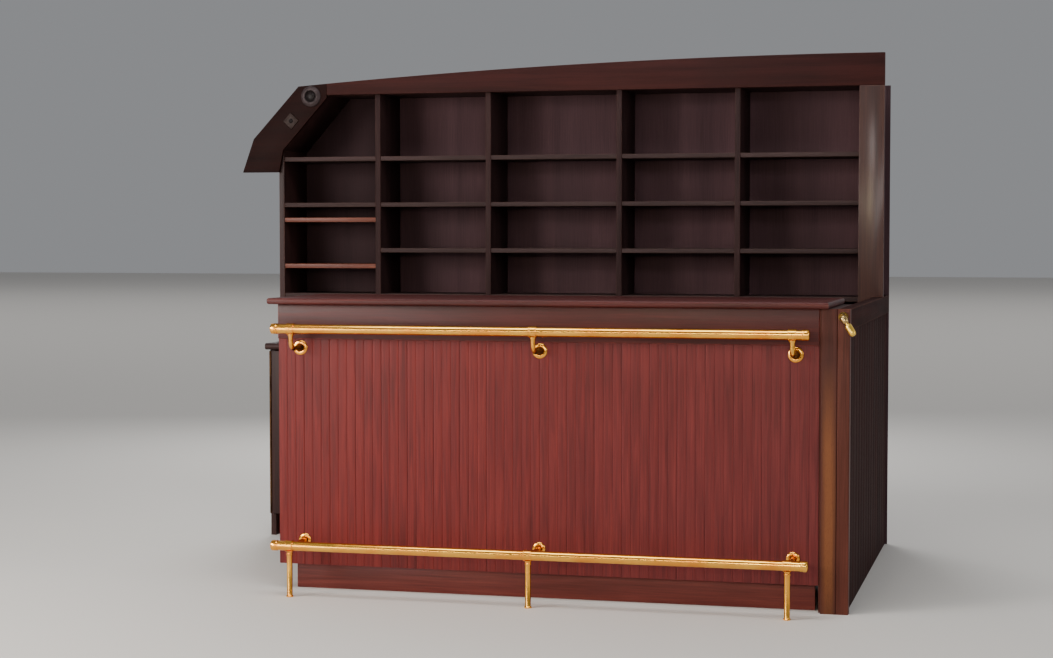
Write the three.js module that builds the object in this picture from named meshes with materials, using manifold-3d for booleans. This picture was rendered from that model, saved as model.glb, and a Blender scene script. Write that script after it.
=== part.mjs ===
// Saloon bar of a passenger barge: a front counter with two brass rails, the
// low partition beside it, and a back bar with cupboards, shelves and fascia.
// Millimetres, +Z up. The customer side faces -Y, the staff side is between
// the counter and the back bar. Sizes are laid out from the corner post: X = 0
// is its outer side and Y = 0 its front; the last lines centre the whole bar.
import * as THREE from 'three';
import { mergeVertices } from 'three/addons/utils/BufferGeometryUtils.js';
import Module from 'manifold-3d';

const wasm = await Module();
wasm.setup();

// Counter
const COUNTER_HEIGHT = 1155;
const TOP_THICKNESS = 24;
const TOP_OVERHANG = 30;
const TOP_BACK_OVERHANG = 10;
const TOP_RIGHT = -76;
const COUNTER_DEPTH = 550;
const COUNTER_LEFT = -2243;
const PANEL_FACE = 20;
const PANEL_THICKNESS = 18;
const APRON_FACE = 12;
const APRON_DROP = 137;
const PLINTH_HEIGHT = 102;
const PLINTH_FACE = 70;
const PLINTH_INSET = 55;
const PLINTH_STOP = 25;
const BEAD_COUNT = 60;
const BEAD_GROOVE = 4;
const BEAD_GROOVE_DEPTH = 3;
const LOWER_SHELF_TOP = 618;
const COUNTER_SHELF_SETBACK = 30;
const COUNTER_DIVIDERS = [-1515, -785];
const RIGHT_END_THICKNESS = 48;

// Corner post and partition along its side
const POST_WIDTH = 105;
const SHADOW_GAP = 8;
const PARTITION = 46;
const POST_DEPTH = PANEL_FACE + PANEL_THICKNESS;
const POST_CHAMFER = 4;
const PARTITION_RAIL = 80;
const PARTITION_PANEL_INSET = 10;

// Brass rails
const HAND_RAIL = { left: -2235, right: -136, y: -85, z: 1038, radius: 19 };
const FOOT_RAIL = { left: -2213, right: -130, y: -150, z: 199, radius: 18.5 };
const HAND_BRACKETS = [-2152, -1179, -201];
const FOOT_STANDS = [-2136, -1182, -207];
const BORE_GAP = 0.3;
const CAP_LENGTH = 30;
const CAP_RISE = 2;
const CAP_ROUND = 4;
const COLLAR_HALF = 15;
const COLLAR_WALL = 4;
const COLLAR_ROUND = 2;
const SECTION = 12;
const HAND_ROSETTE = { z: 960, radius: 30, rise: 10 };
const FOOT_ROSETTE = { radius: 26, rise: 14 };
const ARM_RADIUS = 9;
const ARM_BEND = 34;
const ARM_TENON = 4;
const STAND_RADIUS = 11;
const STAND_FOOT = 14;

// Rope hook: a round plate, a neck, and a barrel along its lean, as [radius, height] points
const ROPE_HOOK = { x: -25, z: 1102, reach: 22, neck: 7, lean: [0.53, -0.12, -0.84] };
const HOOK_PLATE = [[0, -5], [17, -5], [19, -3], [19, 0], [0, 0]];
const HOOK_BARREL = [[0, -10], [8, -10], [10, -6], [10, 20], [13, 26], [13, 70], [9, 79], [0, 81]];

// Back bar
const BACK_FRONT = 1500;
const BACK_REAR = 1800;
const BACK_LEFT = -2815;
const BACK_RIGHT = -85;
const BOARD = 25;
const SHELF = 20;
const UPRIGHTS = [-2327, -1795, -1183, -646];
// Height of each long shelf's top, and the number of the first upright that it crosses
const SHELF_ROWS = [
  { top: 1767, from: 0 },
  { top: 1553, from: 0 },
  { top: 1341, from: 1 },
  { top: 1129, from: 0 },
];
const LEFT_BAY_SHELVES = [1483, 1267];
const SHELF_SETBACK = 4;
const WORKTOP_HEIGHT = 900;
const WORKTOP_THICKNESS = 30;
const WORKTOP_FRONT = 1330;
const WORKTOP_OVERHANG = 10;
const CUPBOARD_FRONT = 1372;
const CUPBOARD_PLINTH = 100;
const CUPBOARD_PLINTH_SETBACK = 50;
const DOOR = 20;
const DOOR_GAP = 6;
const DOOR_FRAME = 60;
const DOOR_RECESS = 6;
const KNOB_DROP = 110;
const KNOB = [[0, -32], [12, -30], [17, -24], [16, -18], [8, -10], [8, 1], [0, 1]];
const HINGE_RADIUS = 5;
const HINGE_LEAF = 3;
const OPENING_TOP = 2054;
const CHEEK_TOP = 1796;
const SLANT_TOP_X = -2565;
const SLANT_THICKNESS = 8;
const BACK_PANEL = 12;

// Fascia boards under the cambered deckhead
const FASCIA_THICKNESS = 20;
const FASCIA_LEFT = -2570;
const CAMBER_RADIUS = 34000;
const CROWN_X = -95;
const CROWN_Z = 2196;
const CAMBER_STEPS = 16;
// Corners of the raking board, [x, z], down its outer edge and up its inner edge
const RAKING_OUTER = [[-2710, 2107], [-2935, 1852], [-2990, 1696]];
const RAKING_INNER = [[-2809, 1696], [-2787, 1801], [FASCIA_LEFT, 2040]];
const ROUND_FITTING = { x: -2647, z: 2048 };
const FITTING_RING = [[0, -4], [24, -4], [28, -12], [40, -14], [48, -8], [48, 0], [0, 0]];

const material = (color, roughness, metalness = 0) =>
  new THREE.MeshStandardMaterial({ color, roughness, metalness });
const MAHOGANY = material(0x78322f, 0.45);
const DARK_MAHOGANY = material(0x3c2226, 0.5);
const WARM_WOOD = material(0x6e4632, 0.5);
const BRASS = material(0xd9a55a, 0.22, 1);
const GREY_RING = material(0x5a5058, 0.5);

const bar = new THREE.Group();

// A named mesh, added to the bar.
function place(name, geometry, finish) {
  const mesh = new THREE.Mesh(geometry, finish);
  mesh.name = name;
  bar.add(mesh);
  return mesh;
}

// A straight board between two corners.
function board(name, [x0, x1], [y0, y1], [z0, z1], finish) {
  const mesh = place(name, new THREE.BoxGeometry(x1 - x0, y1 - y0, z1 - z0), finish);
  mesh.position.set((x0 + x1) / 2, (y0 + y1) / 2, (z0 + z1) / 2);
  return mesh;
}

// Extrudes an outline whose own axes are world X and Z, from y0 back to y1.
function upright(points, y0, y1) {
  const outline = new THREE.Shape(points.map(([x, z]) => new THREE.Vector2(x, z)));
  const geometry = new THREE.ExtrudeGeometry(outline, { depth: y1 - y0, bevelEnabled: false });
  return geometry.rotateX(Math.PI / 2).translate(0, y1, 0);
}

// Extrudes an outline whose own axes are world X and Y, from z0 up to z1.
function plan(points, z0, z1) {
  const outline = new THREE.Shape(points.map(([x, y]) => new THREE.Vector2(x, y)));
  const geometry = new THREE.ExtrudeGeometry(outline, { depth: z1 - z0, bevelEnabled: false });
  return geometry.translate(0, 0, z0);
}

// Extrudes an outline whose own axes are world Y and Z, from x0 to x1.
function profile(points, x0, x1) {
  const outline = new THREE.Shape(points.map(([y, z]) => new THREE.Vector2(y, z)));
  const geometry = new THREE.ExtrudeGeometry(outline, { depth: x1 - x0, bevelEnabled: false });
  return geometry.rotateX(Math.PI / 2).rotateZ(Math.PI / 2).translate(x0, 0, 0);
}

// A body of revolution from [radius, height] points, its axis turned to X, Y or Z.
function turned(points, axis, x, y, z, segments = 24) {
  const geometry = new THREE.LatheGeometry(points.map(([r, h]) => new THREE.Vector2(r, h)), segments);
  if (axis === 'x') geometry.rotateZ(-Math.PI / 2);
  if (axis === 'z') geometry.rotateX(Math.PI / 2);
  return geometry.translate(x, y, z);
}

// A plain cylinder between two heights on its axis.
const rod = (radius, h0, h1, axis, x, y, z, segments) =>
  turned([[0, h0], [radius, h0], [radius, h1], [0, h1]], axis, x, y, z, segments);

// Joins and cuts
function solid(geometry) {
  const bare = geometry.clone();
  bare.deleteAttribute('normal');
  bare.deleteAttribute('uv');
  const merged = mergeVertices(bare, 1e-4);
  return new wasm.Manifold(new wasm.Mesh({
    numProp: 3,
    vertProperties: new Float32Array(merged.attributes.position.array),
    triVerts: new Uint32Array(merged.index.array),
  }));
}

function geometryOf(body) {
  const mesh = body.getMesh();
  const geometry = new THREE.BufferGeometry();
  geometry.setAttribute('position', new THREE.BufferAttribute(new Float32Array(mesh.vertProperties), 3));
  geometry.setIndex(new THREE.BufferAttribute(new Uint32Array(mesh.triVerts), 1));
  geometry.computeVertexNormals();
  return geometry;
}

function joined(pieces, cuts = []) {
  const body = pieces.map(solid).reduce((whole, piece) => whole.add(piece));
  return geometryOf(cuts.map(solid).reduce((whole, cut) => whole.subtract(cut), body));
}

// Height of the deckhead over the fascia at x.
const deckhead = (x) => CROWN_Z - (x - CROWN_X) ** 2 / (2 * CAMBER_RADIUS);

// A board along one axis with slots cut in from one edge, half its depth deep.
// slots holds the middle of each slot; solidEdge and slotEdge are the two edges.
function comb(start, end, solidEdge, slotEdge, slotEnd, slots, width) {
  const points = [[start, solidEdge], [start, slotEdge]];
  for (const middle of [...slots].sort((a, b) => a - b)) {
    points.push([middle - width / 2, slotEdge], [middle - width / 2, slotEnd]);
    points.push([middle + width / 2, slotEnd], [middle + width / 2, slotEdge]);
  }
  points.push([end, slotEdge], [end, solidEdge]);
  return points;
}

// Counter body
const topUnderside = COUNTER_HEIGHT - TOP_THICKNESS;
const panelBack = PANEL_FACE + PANEL_THICKNESS;
const panelRight = -POST_WIDTH - SHADOW_GAP;
const apronBottom = topUnderside - APRON_DROP;
const floorBoardTop = PLINTH_HEIGHT + PANEL_THICKNESS;
const insideLeft = COUNTER_LEFT + PANEL_THICKNESS;
const insideRight = -PARTITION - RIGHT_END_THICKNESS;

function addCounter() {
  board('counter_top', [COUNTER_LEFT - TOP_OVERHANG, TOP_RIGHT], [-TOP_OVERHANG, COUNTER_DEPTH + TOP_BACK_OVERHANG],
    [topUnderside, COUNTER_HEIGHT], MAHOGANY);
  board('counter_apron', [COUNTER_LEFT, panelRight], [APRON_FACE, APRON_FACE + PANEL_THICKNESS],
    [apronBottom, topUnderside], MAHOGANY);
  place('counter_front', beadedPanel(), MAHOGANY);
  board('counter_left_end', [COUNTER_LEFT, insideLeft], [panelBack, COUNTER_DEPTH],
    [PLINTH_HEIGHT, topUnderside], MAHOGANY);
  board('counter_right_end', [insideRight, -PARTITION], [panelBack, COUNTER_DEPTH], [0, topUnderside],
    DARK_MAHOGANY);
  board('counter_floor', [insideLeft, insideRight], [panelBack, COUNTER_DEPTH],
    [PLINTH_HEIGHT, floorBoardTop], DARK_MAHOGANY);
  addCounterPlinth();
  addCounterShelves();
}

function beadedPanel() {
  const pitch = (panelRight - COUNTER_LEFT) / BEAD_COUNT;
  const points = [[panelRight, panelBack], [COUNTER_LEFT, panelBack], [COUNTER_LEFT, PANEL_FACE]];
  for (let i = 1; i < BEAD_COUNT; i += 1) {
    const x = COUNTER_LEFT + i * pitch;
    points.push([x - BEAD_GROOVE / 2, PANEL_FACE], [x, PANEL_FACE + BEAD_GROOVE_DEPTH]);
    points.push([x + BEAD_GROOVE / 2, PANEL_FACE]);
  }
  points.push([panelRight, PANEL_FACE]);
  return plan(points, PLINTH_HEIGHT, apronBottom);
}

function addCounterPlinth() {
  const left = COUNTER_LEFT + PLINTH_INSET;
  const right = -POST_WIDTH - PLINTH_STOP;
  const back = COUNTER_DEPTH - PLINTH_INSET;
  const inner = [left + PANEL_THICKNESS, PLINTH_FACE + PANEL_THICKNESS];
  place('counter_plinth', plan([
    [left, PLINTH_FACE], [right, PLINTH_FACE], [right, inner[1]],
    inner, [inner[0], back], [left, back],
  ], 0, PLINTH_HEIGHT), DARK_MAHOGANY);
}

function addCounterShelves() {
  const middle = (panelBack + COUNTER_DEPTH) / 2;
  const back = COUNTER_DEPTH - COUNTER_SHELF_SETBACK;
  const shelfMiddle = LOWER_SHELF_TOP - PANEL_THICKNESS / 2;
  place('counter_shelf', plan(
    comb(insideLeft, insideRight, panelBack, back, middle, COUNTER_DIVIDERS, PANEL_THICKNESS),
    LOWER_SHELF_TOP - PANEL_THICKNESS, LOWER_SHELF_TOP,
  ), DARK_MAHOGANY);
  COUNTER_DIVIDERS.forEach((x, i) => {
    const outline = comb(floorBoardTop, topUnderside, back, panelBack, middle, [shelfMiddle], PANEL_THICKNESS)
      .map(([z, y]) => [y, z]);
    place(`counter_divider_${i + 1}`, profile(outline, x - PANEL_THICKNESS / 2, x + PANEL_THICKNESS / 2),
      DARK_MAHOGANY);
  });
}

// Corner post: two strips side by side with a V groove between them. The inner
// strip's tongue closes the narrow shadow gap beside the boarded front.
function addCornerPost() {
  const nose = (x0, x1) => [
    [x0, POST_CHAMFER], [x0 + POST_CHAMFER, 0], [x1 - POST_CHAMFER, 0], [x1, POST_CHAMFER], [x1, POST_DEPTH],
  ];
  const tongueFace = APRON_FACE + PANEL_THICKNESS;
  const inner = [[panelRight, POST_DEPTH], [panelRight, tongueFace], [-POST_WIDTH, tongueFace]];
  place('corner_post_inner', plan([...inner, ...nose(-POST_WIDTH, -PARTITION)], 0, topUnderside), WARM_WOOD);
  place('corner_post_outer', plan([[-PARTITION, POST_DEPTH], ...nose(-PARTITION, 0)], 0, topUnderside),
    DARK_MAHOGANY);
}

// Low partition from the corner post back to the rear of the back bar.
function addPartition() {
  const depth = [POST_DEPTH, BACK_REAR];
  const railBottom = topUnderside - PARTITION_RAIL;
  board('partition_rail', [-PARTITION, 0], depth, [railBottom, topUnderside], DARK_MAHOGANY);
  board('partition_panel', [-PARTITION, -PARTITION_PANEL_INSET], depth, [0, railBottom], DARK_MAHOGANY);
}

// Brass hand rail and foot rail, each with a cap on its ends.
function railProfile({ left, right, radius }) {
  const cap = radius + CAP_RISE;
  const length = right - left;
  const end = (near, sign) => [
    [0, near], [cap - CAP_ROUND, near], [cap, near + sign * CAP_ROUND], [cap, near + sign * (CAP_LENGTH - 2)],
    [radius - 1, near + sign * (CAP_LENGTH - 1)], [radius - 1, near + sign * (CAP_LENGTH + 1)],
    [radius, near + sign * (CAP_LENGTH + 2)],
  ];
  return [...end(0, 1), ...end(length, -1).reverse()];
}

function addRails() {
  for (const [name, rail] of [['hand_rail', HAND_RAIL], ['foot_rail', FOOT_RAIL]]) {
    place(name, turned(railProfile(rail), 'x', rail.left, rail.y, rail.z), BRASS);
  }
  HAND_BRACKETS.forEach((x, i) => place(`hand_rail_bracket_${i + 1}`, handBracket(x), BRASS));
  FOOT_STANDS.forEach((x, i) => place(`foot_rail_stand_${i + 1}`, footStand(x), BRASS));
}

function collar(rail, x) {
  const outer = rail.radius + COLLAR_WALL;
  const inner = outer - COLLAR_ROUND;
  return turned([
    [0, -COLLAR_HALF], [inner, -COLLAR_HALF], [outer, -COLLAR_HALF + COLLAR_ROUND],
    [outer, COLLAR_HALF - COLLAR_ROUND], [inner, COLLAR_HALF], [0, COLLAR_HALF],
  ], 'x', x, rail.y, rail.z);
}

const bore = (rail, x) => rod(rail.radius + BORE_GAP, -2 * COLLAR_HALF, 2 * COLLAR_HALF, 'x', x, rail.y, rail.z);

// A domed round foot against the panel, its back at the panel's face.
function rosette({ radius, rise }, x, z) {
  return turned([
    [0, -rise], [radius * 0.55, -rise], [radius * 0.92, -4.5], [radius, -2], [radius, 0], [0, 0],
  ], 'y', x, PANEL_FACE, z);
}

function handBracket(x) {
  const { y, z, radius } = HAND_RAIL;
  const foot = HAND_ROSETTE.z;
  const turnIn = new THREE.Vector3(x, y, foot + ARM_BEND);
  const turnOut = new THREE.Vector3(x, y + ARM_BEND, foot);
  const path = new THREE.CurvePath();
  path.add(new THREE.LineCurve3(new THREE.Vector3(x, y, z - radius), turnIn));
  path.add(new THREE.QuadraticBezierCurve3(turnIn, new THREE.Vector3(x, y, foot), turnOut));
  path.add(new THREE.LineCurve3(turnOut, new THREE.Vector3(x, PANEL_FACE - ARM_TENON, foot)));
  const section = new THREE.Shape().absarc(0, 0, ARM_RADIUS, 0, 2 * Math.PI);
  const arm = new THREE.ExtrudeGeometry(section, {
    extrudePath: path, steps: 10, curveSegments: SECTION, bevelEnabled: false,
  });
  return joined([collar(HAND_RAIL, x), arm, rosette(HAND_ROSETTE, x, foot)], [bore(HAND_RAIL, x)]);
}

function footStand(x) {
  const { y, z, radius } = FOOT_RAIL;
  const post = turned([
    [0, 0], [STAND_FOOT, 0], [STAND_FOOT, 5], [STAND_RADIUS, 9], [STAND_RADIUS, z - radius], [0, z - radius],
  ], 'z', x, y, 0, 20);
  const arm = rod(ARM_RADIUS, y + radius, PANEL_FACE - ARM_TENON, 'y', x, 0, z, SECTION);
  return joined([collar(FOOT_RAIL, x), post, arm, rosette(FOOT_ROSETTE, x, z)], [bore(FOOT_RAIL, x)]);
}

// Brass rope hook on the front of the corner post, its barrel hanging down to the right.
function addRopeHook() {
  const { x, z, reach, neck, lean } = ROPE_HOOK;
  const plate = turned(HOOK_PLATE, 'y', x, 0, z);
  const stem = rod(neck, -reach, -neck / 2, 'y', x, 0, z, SECTION);
  const barrel = turned(HOOK_BARREL, 'y', 0, 0, 0, 16);
  const down = new THREE.Vector3(...lean).normalize();
  barrel.applyQuaternion(new THREE.Quaternion().setFromUnitVectors(new THREE.Vector3(0, 1, 0), down));
  barrel.translate(x, -reach, z);
  place('rope_hook', joined([plate, stem, barrel]), BRASS);
}

// Cupboards under the back bar's worktop
const cupboardTop = WORKTOP_HEIGHT - WORKTOP_THICKNESS;
const doorFace = CUPBOARD_FRONT - DOOR_GAP - DOOR;
const slantOuterX = SLANT_TOP_X - SLANT_THICKNESS;
const doorEdges = [BACK_LEFT, ...UPRIGHTS, -PARTITION];

function addCupboards() {
  const inside = [BACK_LEFT + BOARD, -PARTITION];
  const carcassFloor = CUPBOARD_PLINTH + SHELF;
  const plinthFace = CUPBOARD_FRONT + CUPBOARD_PLINTH_SETBACK;
  board('back_worktop', [BACK_LEFT - WORKTOP_OVERHANG, -PARTITION], [WORKTOP_FRONT, BACK_REAR],
    [cupboardTop, WORKTOP_HEIGHT], DARK_MAHOGANY);
  board('cupboard_floor', inside, [CUPBOARD_FRONT, BACK_REAR], [CUPBOARD_PLINTH, carcassFloor], DARK_MAHOGANY);
  board('cupboard_plinth', inside, [plinthFace, plinthFace + SHELF], [0, CUPBOARD_PLINTH], DARK_MAHOGANY);
  board('cupboard_left_end', [BACK_LEFT, BACK_LEFT + BOARD], [CUPBOARD_FRONT, BACK_REAR],
    [0, cupboardTop], DARK_MAHOGANY);
  UPRIGHTS.forEach((x, i) => board(`cupboard_divider_${i + 1}`, [x - BOARD / 2, x + BOARD / 2],
    [CUPBOARD_FRONT, BACK_REAR], [carcassFloor, cupboardTop], DARK_MAHOGANY));
  for (let i = 0; i < doorEdges.length - 1; i += 1) addDoor(i + 1, doorEdges[i], doorEdges[i + 1]);
}

// A framed door with a turned knob, hung on a long hinge at its left edge.
function addDoor(number, x0, x1) {
  const hingeX = x0 + DOOR_GAP + HINGE_RADIUS;
  const left = hingeX + HINGE_RADIUS + BORE_GAP;
  const right = x1 - DOOR_GAP;
  const [bottom, top] = [CUPBOARD_PLINTH + DOOR_GAP, cupboardTop - DOOR_GAP];
  const [middleX, middleZ] = [(left + right) / 2, (bottom + top) / 2];
  const slab = new THREE.BoxGeometry(right - left, DOOR, top - bottom)
    .translate(middleX, doorFace + DOOR / 2, middleZ);
  const recess = new THREE.BoxGeometry(right - left - 2 * DOOR_FRAME, 2 * DOOR_RECESS, top - bottom - 2 * DOOR_FRAME)
    .translate(middleX, doorFace, middleZ);
  const knob = turned(KNOB, 'y', right - DOOR_FRAME / 2, doorFace, top - KNOB_DROP, 20);
  place(`cupboard_door_${number}`, joined([slab, knob], [recess]), DARK_MAHOGANY);
  const knuckle = rod(HINGE_RADIUS, bottom, top, 'z', hingeX, doorFace, 0, SECTION);
  const leaf = new THREE.BoxGeometry(HINGE_LEAF, CUPBOARD_FRONT - doorFace, top - bottom)
    .translate(hingeX - HINGE_RADIUS + 2, (CUPBOARD_FRONT + doorFace) / 2, middleZ);
  place(`door_hinge_${number}`, joined([knuckle, leaf]), BRASS);
}

// Shelves above the worktop, halved into the uprights where they cross
function addShelving() {
  const inner = [BACK_LEFT + BOARD, BACK_RIGHT - BOARD];
  const depth = [BACK_FRONT, BACK_REAR];
  const middle = (BACK_FRONT + BACK_REAR) / 2;
  board('left_cheek', [BACK_LEFT, inner[0]], depth, [WORKTOP_HEIGHT, CHEEK_TOP], DARK_MAHOGANY);
  board('right_cheek', [inner[1], BACK_RIGHT], depth, [WORKTOP_HEIGHT, OPENING_TOP], DARK_MAHOGANY);
  board('top_board', [SLANT_TOP_X, BACK_RIGHT], depth, [OPENING_TOP, OPENING_TOP + SHELF], DARK_MAHOGANY);
  place('slant_board', upright([
    [BACK_LEFT, CHEEK_TOP], [inner[0], CHEEK_TOP], [SLANT_TOP_X, OPENING_TOP],
    [SLANT_TOP_X, OPENING_TOP + SHELF], [slantOuterX, OPENING_TOP + SHELF],
  ], ...depth), DARK_MAHOGANY);
  UPRIGHTS.forEach((x, i) => {
    const rows = SHELF_ROWS.filter((row) => row.from <= i).map((row) => row.top - SHELF / 2);
    const outline = comb(WORKTOP_HEIGHT, OPENING_TOP, BACK_FRONT, BACK_REAR, middle, rows, SHELF)
      .map(([z, y]) => [y, z]);
    place(`upright_${i + 1}`, profile(outline, x - BOARD / 2, x + BOARD / 2), DARK_MAHOGANY);
  });
  SHELF_ROWS.forEach(({ top, from }, i) => {
    const start = from === 0 ? inner[0] : UPRIGHTS[from - 1] + BOARD / 2;
    const outline = comb(start, inner[1], BACK_REAR, BACK_FRONT + SHELF_SETBACK, middle,
      UPRIGHTS.slice(from), BOARD);
    place(`shelf_row_${i + 1}`, plan(outline, top - SHELF, top), DARK_MAHOGANY);
  });
  LEFT_BAY_SHELVES.forEach((top, i) => board(`left_bay_shelf_${i + 1}`, [inner[0], UPRIGHTS[0] - BOARD / 2],
    [BACK_FRONT + SHELF_SETBACK, BACK_REAR], [top - SHELF, top], WARM_WOOD));
  place('back_panel', upright([
    [BACK_LEFT, 0], [0, 0], [0, OPENING_TOP + SHELF], [slantOuterX, OPENING_TOP + SHELF], [BACK_LEFT, CHEEK_TOP],
  ], BACK_REAR, BACK_REAR + BACK_PANEL), DARK_MAHOGANY);
}

// Trim in front of the shelves: cambered fascia, its raking end board and the rear stile
function addTrim() {
  const face = [BACK_FRONT - FASCIA_THICKNESS, BACK_FRONT];
  const camber = Array.from({ length: CAMBER_STEPS + 1 }, (_, i) => {
    const x = FASCIA_LEFT * (i / CAMBER_STEPS);
    return [x, deckhead(x)];
  });
  place('fascia', upright([[FASCIA_LEFT, OPENING_TOP], [0, OPENING_TOP], ...camber], ...face), MAHOGANY);
  place('raking_board', upright([
    [FASCIA_LEFT, deckhead(FASCIA_LEFT)], ...RAKING_OUTER.map(([x, z]) => [x, Math.min(z, deckhead(x))]),
    ...RAKING_INNER,
  ], ...face), MAHOGANY);
  place('rear_stile', upright([
    [BACK_RIGHT - BOARD, WORKTOP_HEIGHT], [-PARTITION, WORKTOP_HEIGHT], [-PARTITION, topUnderside],
    [0, topUnderside], [0, OPENING_TOP], [BACK_RIGHT - BOARD, OPENING_TOP],
  ], ...face), DARK_MAHOGANY);
  place('round_fitting', turned(FITTING_RING, 'y', ROUND_FITTING.x, face[0], ROUND_FITTING.z, 32), GREY_RING);
}

addCounter();
addCornerPost();
addPartition();
addRails();
addRopeHook();
addCupboards();
addShelving();
addTrim();

// Origin at the bottom centre of the whole bar.
const middle = new THREE.Box3().setFromObject(bar).getCenter(new THREE.Vector3());
bar.position.set(-middle.x, -middle.y, 0);

export default bar;
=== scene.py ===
"""Looks for the saloon bar of a passenger barge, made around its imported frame.

Metres, +Z up. The customer side faces -Y, and the staff side lies between the
counter and the back bar. Pieces take their places from the frame's own boxes,
and a size that the frame doesn't hold is a field of the class that uses it.
"""

import logging
import math
from collections.abc import Iterable, Sequence
from dataclasses import dataclass, replace
from enum import Enum
from functools import cached_property, lru_cache
from typing import Protocol

import bmesh
import bpy
from mathutils import Matrix, Vector

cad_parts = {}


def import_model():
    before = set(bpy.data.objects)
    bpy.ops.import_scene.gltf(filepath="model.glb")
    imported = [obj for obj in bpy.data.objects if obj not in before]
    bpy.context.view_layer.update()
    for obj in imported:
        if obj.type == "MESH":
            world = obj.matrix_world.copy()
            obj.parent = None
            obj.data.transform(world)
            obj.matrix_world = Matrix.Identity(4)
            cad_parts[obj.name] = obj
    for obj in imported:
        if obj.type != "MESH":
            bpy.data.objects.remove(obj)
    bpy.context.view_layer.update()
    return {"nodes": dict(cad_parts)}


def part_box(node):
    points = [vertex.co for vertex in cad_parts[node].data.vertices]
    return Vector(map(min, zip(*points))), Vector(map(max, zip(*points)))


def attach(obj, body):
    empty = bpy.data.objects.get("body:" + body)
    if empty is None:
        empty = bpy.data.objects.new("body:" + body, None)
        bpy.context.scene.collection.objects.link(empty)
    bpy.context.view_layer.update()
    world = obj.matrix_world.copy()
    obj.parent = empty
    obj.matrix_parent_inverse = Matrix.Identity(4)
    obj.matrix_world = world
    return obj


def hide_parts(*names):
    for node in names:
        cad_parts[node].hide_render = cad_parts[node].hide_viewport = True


LOG = logging.getLogger("saloon_bar")
ROOT_BODY = "bar"
WEAR = "wear"

# Eased edges, and the limits between sharp and round, flat and bent, one point and two
EASE = 0.0015
EASE_STEPS = 3
EASE_ANGLE = math.radians(40)
CURVE_CHORD = 0.006
SHARP_ANGLE = math.radians(35)
FLAT_ANGLE = math.radians(0.05)
WELD = 1e-5

# The wood's noise: lumps to a metre, its squeeze along the grain, and its shift from board to board
FIBRES = 310.0
PORES = 1500.0
PATCHES = 2.3
SCUFFS = 38.0
STREAK_SHARE = 0.05
FIBRE_SHARE = 0.018
BOARD_SHIFT = (9.0, 9.0, 9.0)

# Half a screw's slot as a share of the head's radius
SCREW_SLOT = 0.16

RIGHT = Vector((1, 0, 0))
FORWARD = Vector((0, -1, 0))
BACK = Vector((0, 1, 0))
UP = Vector((0, 0, 1))

Pair = tuple[float, float]
Outline = Sequence[Pair]
Triple = tuple[float, float, float]
Tone = tuple[int, int, int]
Part = bmesh.types.BMesh
Socket = bpy.types.NodeSocket
Made = list[bpy.types.Object]


class Axis(Enum):
    """The frame's axes, each valued as the index of its coordinate."""

    X = 0
    Y = 1
    Z = 2

    def point(self, across: float, up: float, along: float) -> Vector:
        """Gives a point from its two other coordinates, in the order X, Y, Z, and the one along this axis."""
        return Vector(((along, across, up), (across, along, up), (across, up, along))[self.value])


class Slot(Enum):
    """The record's material slots."""

    MAHOGANY = "mahogany"
    DARK = "dark_mahogany"
    WARM = "warm_wood"
    BRASS = "brass"
    RING = "grey_ring"


def display(tone: Tone) -> tuple[float, ...]:
    """Turns a display colour, 0 to 255 a channel, into the linear one with alpha that shaders take."""
    return (*(((c / 255 + 0.055) / 1.055) ** 2.4 if c > 10 else c / 3295 for c in tone), 1.0)


# Shaders


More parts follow.
